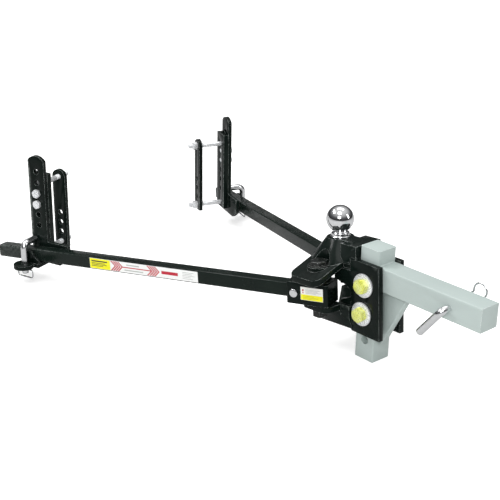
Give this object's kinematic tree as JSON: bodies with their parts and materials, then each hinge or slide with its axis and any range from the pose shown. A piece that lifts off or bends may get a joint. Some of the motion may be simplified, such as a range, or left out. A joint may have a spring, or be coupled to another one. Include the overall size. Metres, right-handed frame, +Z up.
{
  "type": "weight distribution hitch",
  "caption": "Drawbar shank with a ball head, swivelling spring arms and sway brackets that clamp to the rails of a trailer frame.",
  "frame": {"origin": "centre of the receiver pin hole, on the centre line of the shank bar", "axes": "+X forward along the shank towards the tow vehicle, +Y to the left, +Z up"},
  "size_m": [1.2014, 0.7618, 0.3061],
  "materials": {
    "shank_paint": "pale grey-green satin paint",
    "black_paint": "black semi-gloss powder coat",
    "arm_paint": "black semi-gloss powder coat",
    "black_fastener": "black painted bolts, worn on the corners",
    "ball_chrome": "polished chrome",
    "pin_chrome": "bright plated rod and wire",
    "bright_zinc": "bright zinc plate",
    "yellow_zinc": "yellow zinc plate",
    "socket_label": "printed vinyl",
    "arm_label": "printed vinyl"
  },
  "bodies": {
    "head": {"shank_bar": "shank_paint", "shank_column": "shank_paint", "shank_gusset": "shank_paint", "side_plate_right": "black_paint", "side_plate_left": "black_paint", "ball_platform": "black_paint", "top_plate": "black_paint", "bottom_plate": "black_paint", "tilt_spacer": "bright_zinc", "head_bolts": "yellow_zinc", "head_bolt_washers": "bright_zinc", "head_bolt_nuts": "yellow_zinc", "hitch_ball": "ball_chrome", "ball_lock_washer": "bright_zinc", "ball_nut": "bright_zinc", "socket_bolts": "black_fastener", "socket_bolt_washers": "black_fastener", "socket_bolt_nuts": "black_fastener"},
    "hitch_pin": {"hitch_pin": "pin_chrome"},
    "hitch_pin_clip": {"hitch_pin_clip": "pin_chrome"},
    "right_arm": {"right_socket": "black_paint", "right_socket_label": "socket_label", "right_arm": "arm_paint", "right_arm_label": "arm_label"},
    "right_arm_pin": {"right_arm_pin": "pin_chrome"},
    "right_arm_pin_clip": {"right_arm_pin_clip": "pin_chrome"},
    "right_bracket": {"right_sway_bracket": "black_paint", "right_shelf": "black_paint", "right_shelf_lip": "black_paint", "right_jacket": "black_paint", "right_link_plate": "black_paint", "right_bracket_bolts": "bright_zinc", "right_bracket_nuts": "bright_zinc", "right_frame_bolts": "bright_zinc", "right_frame_nuts": "bright_zinc"},
    "right_l_pin": {"right_l_pin": "pin_chrome"},
    "right_l_pin_clip": {"right_l_pin_clip": "pin_chrome"},
    "left_arm": {"left_socket": "black_paint", "left_socket_label": "socket_label", "left_arm": "arm_paint", "left_arm_label": "arm_label"},
    "left_arm_pin": {"left_arm_pin": "pin_chrome"},
    "left_arm_pin_clip": {"left_arm_pin_clip": "pin_chrome"},
    "left_bracket": {"left_sway_bracket": "black_paint", "left_shelf": "black_paint", "left_shelf_lip": "black_paint", "left_jacket": "black_paint", "left_link_plate": "black_paint", "left_bracket_bolts": "bright_zinc", "left_bracket_nuts": "bright_zinc", "left_frame_bolts": "bright_zinc", "left_frame_nuts": "bright_zinc"},
    "left_l_pin": {"left_l_pin": "pin_chrome"},
    "left_l_pin_clip": {"left_l_pin_clip": "pin_chrome"}
  },
  "joints": [
    {"name": "hitch_pin_turn", "type": "hinge", "parent": "head", "child": "hitch_pin", "pos_m": [0, 0, 0], "axis": [0, 1, 0], "continuous": true},
    {"name": "hitch_pin_clip_pull", "type": "slide", "parent": "hitch_pin", "child": "hitch_pin_clip", "axis": [0.766, 0, 0.6428], "range_m": [0, 0.032]},
    {"name": "right_arm_swivel", "type": "hinge", "parent": "head", "child": "right_arm", "pos_m": [-0.30258, -0.066, -0.05823], "axis": [-0.0958, 0, 0.9954], "range_deg": [-20.7, 55]},
    {"name": "right_arm_pin_turn", "type": "hinge", "parent": "right_arm", "child": "right_arm_pin", "pos_m": [-0.34541, -0.08226, -0.06235], "axis": [0.3518, -0.9354, 0.0339], "continuous": true},
    {"name": "right_arm_pin_clip_pull", "type": "slide", "parent": "right_arm_pin", "child": "right_arm_pin_clip", "axis": [-0.0958, 0, 0.9954], "range_m": [0, 0.025]},
    {"name": "right_bracket_slide", "type": "slide", "parent": "right_arm", "child": "right_bracket", "axis": [-0.9311, -0.3535, -0.0897], "range_m": [-0.04, 0.05]},
    {"name": "right_l_pin_turn", "type": "hinge", "parent": "right_bracket", "child": "right_l_pin", "pos_m": [-1.00859, -0.36717, -0.12628], "axis": [0, 0, 1], "continuous": true},
    {"name": "right_l_pin_clip_swing", "type": "hinge", "parent": "right_l_pin", "child": "right_l_pin_clip", "pos_m": [-1.00859, -0.36717, -0.15928], "axis": [-0.9349, -0.3549, 0], "range_deg": [-90, 90]},
    {"name": "left_arm_swivel", "type": "hinge", "parent": "head", "child": "left_arm", "pos_m": [-0.30258, 0.066, -0.05823], "axis": [-0.0958, 0, 0.9954], "range_deg": [-55, 18.3]},
    {"name": "left_arm_pin_turn", "type": "hinge", "parent": "left_arm", "child": "left_arm_pin", "pos_m": [-0.34605, 0.08044, -0.06241], "axis": [0.3125, 0.9494, 0.0301], "continuous": true},
    {"name": "left_arm_pin_clip_pull", "type": "slide", "parent": "left_arm_pin", "child": "left_arm_pin_clip", "axis": [-0.0958, 0, 0.9954], "range_m": [0, 0.025]},
    {"name": "left_bracket_slide", "type": "slide", "parent": "left_arm", "child": "left_bracket", "axis": [-0.9451, 0.314, -0.091], "range_m": [-0.04, 0.05]},
    {"name": "left_l_pin_turn", "type": "hinge", "parent": "left_bracket", "child": "left_l_pin", "pos_m": [-1.02054, 0.33721, -0.1273], "axis": [0, 0, 1], "continuous": true},
    {"name": "left_l_pin_clip_swing", "type": "hinge", "parent": "left_l_pin", "child": "left_l_pin_clip", "pos_m": [-1.02054, 0.33721, -0.1603], "axis": [0.949, -0.3153, 0], "range_deg": [-90, 90]}
  ]
}
